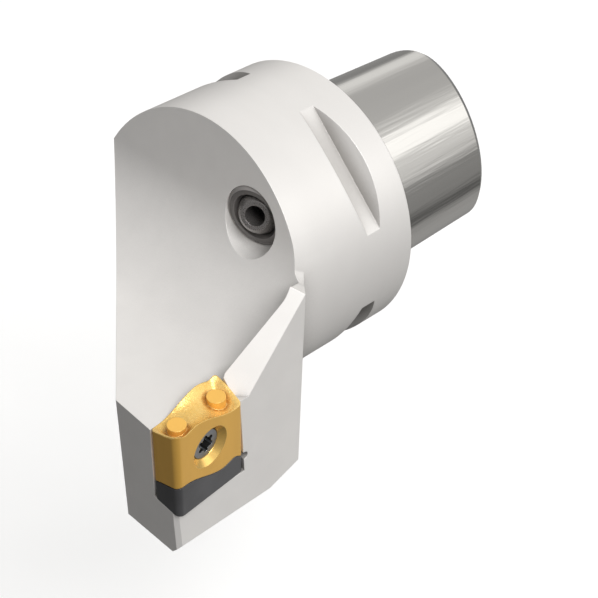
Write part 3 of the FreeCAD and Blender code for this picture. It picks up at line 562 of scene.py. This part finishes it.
def ease_rear_corner(piece):
    """Lowers the rear corner of the insert's rake face a little, so that it ends round and not in a spike."""
    only(piece)
    bpy.ops.object.mode_set(mode="EDIT")
    bpy.ops.mesh.select_mode(type="VERT")
    bpy.ops.mesh.select_all(action="DESELECT")
    cage = bmesh.from_edit_mesh(piece.data)
    for vertex in cage.verts:
        near = (vertex.co.xy - REAR_CORNER.xy).length < CORNER_REACH
        vertex.select = near and vertex.co.z > REAR_CORNER.z - CORNER_DEPTH
    cage.select_flush(True)
    bmesh.update_edit_mesh(piece.data)
    bpy.ops.transform.translate(value=(0, 0, -CORNER_DROP), use_proportional_edit=True,
                                proportional_edit_falloff="SMOOTH", proportional_size=CORNER_BLEND)
    bpy.ops.object.mode_set(mode="OBJECT")


class TOOLHOLDER_OT_tool_body(Operator):
    """Body of shank, flange and head: blasted before the gauge face, ground behind it"""
    bl_idname = "toolholder.tool_body"
    bl_label = "Tool Body"

    def execute(self, context):
        piece = merged_copy("tool_body", "tool_body_steel")
        paint(piece, ("blasted_steel", "ground_steel", "turned_steel_painted_darker"), body_zone)
        stand_for(piece, "tool_body")
        return {"FINISHED"}


class TOOLHOLDER_OT_insert(Operator):
    """Gold cutting insert"""
    bl_idname = "toolholder.insert"
    bl_label = "Cutting Insert"

    def execute(self, context):
        piece = merged_copy("cutting_insert", "cutting_insert_coated")
        ease_rear_corner(piece)
        paint(piece, ("gold_coating", "pressed_gold", "polished_gold", "ground_gold"), insert_zone)
        stand_for(piece, "cutting_insert")
        return {"FINISHED"}


class TOOLHOLDER_OT_shim(Operator):
    """Dark carbide shim under the insert"""
    bl_idname = "toolholder.shim"
    bl_label = "Shim"

    def execute(self, context):
        piece = merged_copy("shim", "shim_carbide")
        paint(piece, ("bare_carbide",), one_zone)
        stand_for(piece, "shim")
        return {"FINISHED"}


class TOOLHOLDER_OT_screws(Operator):
    """Insert screw and shim screw"""
    bl_idname = "toolholder.screws"
    bl_label = "Screws"

    def execute(self, context):
        for node in ("insert_screw", "shim_screw"):
            piece = merged_copy(node, node + "_steel")
            paint(piece, ("tempered_steel", "socket_painted_shade"), screw_zone)
            stand_for(piece, node)
        return {"FINISHED"}


class TOOLHOLDER_OT_nozzle(Operator):
    """Coolant nozzle: ring, ball and seal"""
    bl_idname = "toolholder.nozzle"
    bl_label = "Coolant Nozzle"

    def execute(self, context):
        for node, finishes, slot in (("nozzle_ring", ("black_oxide", "rim_painted_highlight"), "dark_steel"),
                                     ("nozzle_ball", ("ball_oxide_painted_lighter",), "dark_steel"),
                                     ("nozzle_seal", ("black_rubber",), "seal_rubber")):
            piece = merged_copy(node, node + "_finished")
            paint(piece, finishes, ring_zone if node == "nozzle_ring" else one_zone)
            stand_for(piece, node)
        return {"FINISHED"}


# Studio panels, chosen so that the shank shows the photo's bright and dark bands. Each spans an arc in degrees
# round the shank's axis, from the cutting side (0) over the top (90): its start, its end, the width of its
# soft edges, and the tone that it adds to the room
REAR_ROOM = 0.30
REAR_PANELS = {
    "overhead": (5, 155, 12, 0.33),
    "side_box": (10, 48, 14, 0.30),
    "strip_lamp": (28, 38, 10, 0.75),
    "back_box": (134, 148, 26, 0.38),
    "low_card": (-85, -60, 25, 0.10),
    "dark_card": (-42, -38, 10, -0.20),
}
SIDE_ROOM = 0.06
SIDE_PANELS = {
    "overhead": (40, 75, 40, 0.53),
    "far_side": (112, 150, 30, 0.12),
}
STUDIO_TINT = (1.0, 0.99, 0.97, 1.0)
FRONT_HIGH = 0.42
FRONT_LOW = 0.06
REAR_TONE = 0.25
KEY_DIRECTION = (0.63, -0.21, 0.75)
KEY_ANGLE = math.radians(35)
FLOOR_WIDTH = 4.0
FLOOR_PAINT = (0.96, 0.96, 0.96, 1.0)
FLOOR_PALE = (1.0, 1.0, 1.0, 1.0)


def panel_tone(nodes, angle, room, panels):
    """Tone round the shank's axis: the room's own, and what each panel adds between its soft edges."""
    tone = room
    for first, last, soft, gain in panels.values():
        rise = nodes.spread(angle, math.radians(first - soft), math.radians(first), 0.0, 1.0)
        fall = nodes.spread(angle, math.radians(last), math.radians(last + soft), 1.0, 0.0)
        tone = nodes.math("ADD", tone, nodes.math("MULTIPLY", nodes.math("MULTIPLY", rise, fall), gain))
    return nodes.mix(1.0, tone, STUDIO_TINT, blend="MULTIPLY")


def studio_world():
    """White to the camera. The object is lit by, and mirrors, a studio of pale panels and dark cards."""
    world = bpy.data.worlds.new("studio")
    world.use_nodes = True
    bpy.context.scene.world = world
    nodes = Nodes(world.node_tree)
    place = nodes.add("TexCoord")
    parts = nodes.add("SeparateXYZ")
    nodes.put(parts.inputs[0], place.outputs["Generated"])
    angle = nodes.math("ARCTAN2", parts.outputs["Z"], parts.outputs["X"])
    behind = panel_tone(nodes, angle, REAR_ROOM, REAR_PANELS)
    beside = panel_tone(nodes, angle, SIDE_ROOM, SIDE_PANELS)
    ring = nodes.mix(nodes.spread(parts.outputs["Y"], 0.15, 0.45, 0.0, 1.0), beside, behind)
    front = nodes.spread(parts.outputs["Y"], -0.95, -0.35, 1.0, 0.0)
    front_tone = nodes.spread(parts.outputs["Z"], -0.3, 0.4, FRONT_LOW, FRONT_HIGH)
    rear = nodes.spread(parts.outputs["Y"], 0.75, 0.98, 0.0, 1.0)
    tone = nodes.mix(front, ring, front_tone)
    tone = nodes.mix(rear, tone, rgba((REAR_TONE,) * 3))
    studio = nodes.add("Background", Strength=1.0)
    nodes.put(studio.inputs["Color"], tone)
    white = nodes.add("Background", Color=(1.0, 1.0, 1.0, 1.0), Strength=1.0)
    path = nodes.add("LightPath")
    choose = nodes.add("MixShader")
    nodes.put(choose.inputs[0], path.outputs["Is Camera Ray"])
    nodes.put(choose.inputs[1], studio.outputs[0])
    nodes.put(choose.inputs[2], white.outputs[0])
    output = nodes.add("OutputWorld")
    nodes.put(output.inputs["Surface"], choose.outputs[0])


def floor(drop):
    """Pale floor that shows the camera the object's shadow. Its own bounce is part of the studio's tones."""
    bpy.ops.object.select_all(action="DESELECT")
    bpy.ops.mesh.primitive_plane_add(size=FLOOR_WIDTH, location=(0.0, 0.0, -drop))
    plane = bpy.context.object
    plane.name = "studio_floor"
    bpy.ops.object.mode_set(mode="EDIT")
    bpy.ops.mesh.select_all(action="SELECT")
    bpy.ops.mesh.subdivide(number_cuts=6)
    bpy.ops.object.mode_set(mode="OBJECT")
    bpy.ops.object.transform_apply(location=True, rotation=False, scale=False)
    white = bpy.data.materials.new("floor_white")
    white.use_nodes = True
    nodes = Nodes(white.node_tree)
    grain = nodes.add("TexNoise", Scale=40.0, Detail=2.0)
    nodes.put(grain.inputs["Vector"], nodes.add("TexCoord").outputs["Object"])
    shader = nodes.add("BsdfPrincipled", Roughness=0.9)
    nodes.put(shader.inputs["Base Color"], nodes.mix(grain.outputs[0], FLOOR_PAINT, FLOOR_PALE))
    nodes.put(nodes.add("OutputMaterial").inputs["Surface"], shader.outputs[0])
    plane.data.materials.append(white)
    plane.visible_diffuse = False
    plane.visible_glossy = False
    plane.visible_shadow = False


def key_lamp(strength):
    """One broad lamp over the cutting side."""
    lamp = bpy.data.lights.new("key_lamp", "SUN")
    lamp.energy = strength
    lamp.angle = KEY_ANGLE
    holder = bpy.data.objects.new("key_lamp", lamp)
    holder.rotation_mode = "QUATERNION"
    holder.rotation_quaternion = Vector(KEY_DIRECTION).to_track_quat("Z", "Y")
    bpy.context.scene.collection.objects.link(holder)


def camera(sizes):
    """Camera of the photograph's view, from its angles, distance and focal length."""
    turn = (Matrix.Rotation(sizes.azimuth, 4, "Z") @ Matrix.Rotation(math.pi / 2 - sizes.elevation, 4, "X")
            @ Matrix.Rotation(sizes.roll, 4, "Z"))
    data = bpy.data.cameras.new("camera")
    data.sensor_width = SENSOR_WIDTH
    data.lens = sizes.focal_pixels / IMAGE_WIDTH * SENSOR_WIDTH
    data.clip_start = 10 * MM
    data.clip_end = 10.0
    viewer = bpy.data.objects.new("camera", data)
    viewer.matrix_world = turn @ Matrix.Translation((sizes.aside, sizes.above, sizes.distance))
    bpy.context.scene.collection.objects.link(viewer)
    bpy.context.scene.camera = viewer


class TOOLHOLDER_OT_stage(Operator):
    """Camera, lamp, studio and pale floor"""
    bl_idname = "toolholder.stage"
    bl_label = "Stage"

    def execute(self, context):
        sizes = context.scene.stage_sizes
        context.scene.view_settings.view_transform = "Standard"
        camera(sizes)
        key_lamp(sizes.key_strength)
        studio_world()
        floor(sizes.floor_drop)
        return {"FINISHED"}


class TOOLHOLDER_PT_panel(Panel):
    """Lists the pieces of the tool holder"""
    bl_label = "Tool Holder"
    bl_idname = "TOOLHOLDER_PT_panel"
    bl_space_type = "VIEW_3D"
    bl_region_type = "UI"
    bl_category = "Tool Holder"

    def draw(self, context):
        layout = self.layout
        for settings in (context.scene.finish_sizes, context.scene.stage_sizes):
            for key in settings.__annotations__:
                layout.prop(settings, key)
        for operator in OPERATORS:
            layout.operator(operator.bl_idname)


OPERATORS = (TOOLHOLDER_OT_finishes, TOOLHOLDER_OT_tool_body, TOOLHOLDER_OT_insert, TOOLHOLDER_OT_shim,
             TOOLHOLDER_OT_screws, TOOLHOLDER_OT_nozzle, TOOLHOLDER_OT_stage)
CLASSES = (FinishSizes, StageSizes, *OPERATORS, TOOLHOLDER_PT_panel)


def register():
    for item in CLASSES:
        bpy.utils.register_class(item)
    bpy.types.Scene.finish_sizes = PointerProperty(type=FinishSizes)
    bpy.types.Scene.stage_sizes = PointerProperty(type=StageSizes)


def unregister():
    del bpy.types.Scene.stage_sizes
    del bpy.types.Scene.finish_sizes
    for item in reversed(CLASSES):
        bpy.utils.unregister_class(item)


def main():
    register()
    bpy.ops.toolholder.finishes()
    bpy.ops.toolholder.tool_body()
    bpy.ops.toolholder.insert()
    bpy.ops.toolholder.shim()
    bpy.ops.toolholder.screws()
    bpy.ops.toolholder.nozzle()
    bpy.ops.toolholder.stage()


if __name__ == "__main__":
    main()
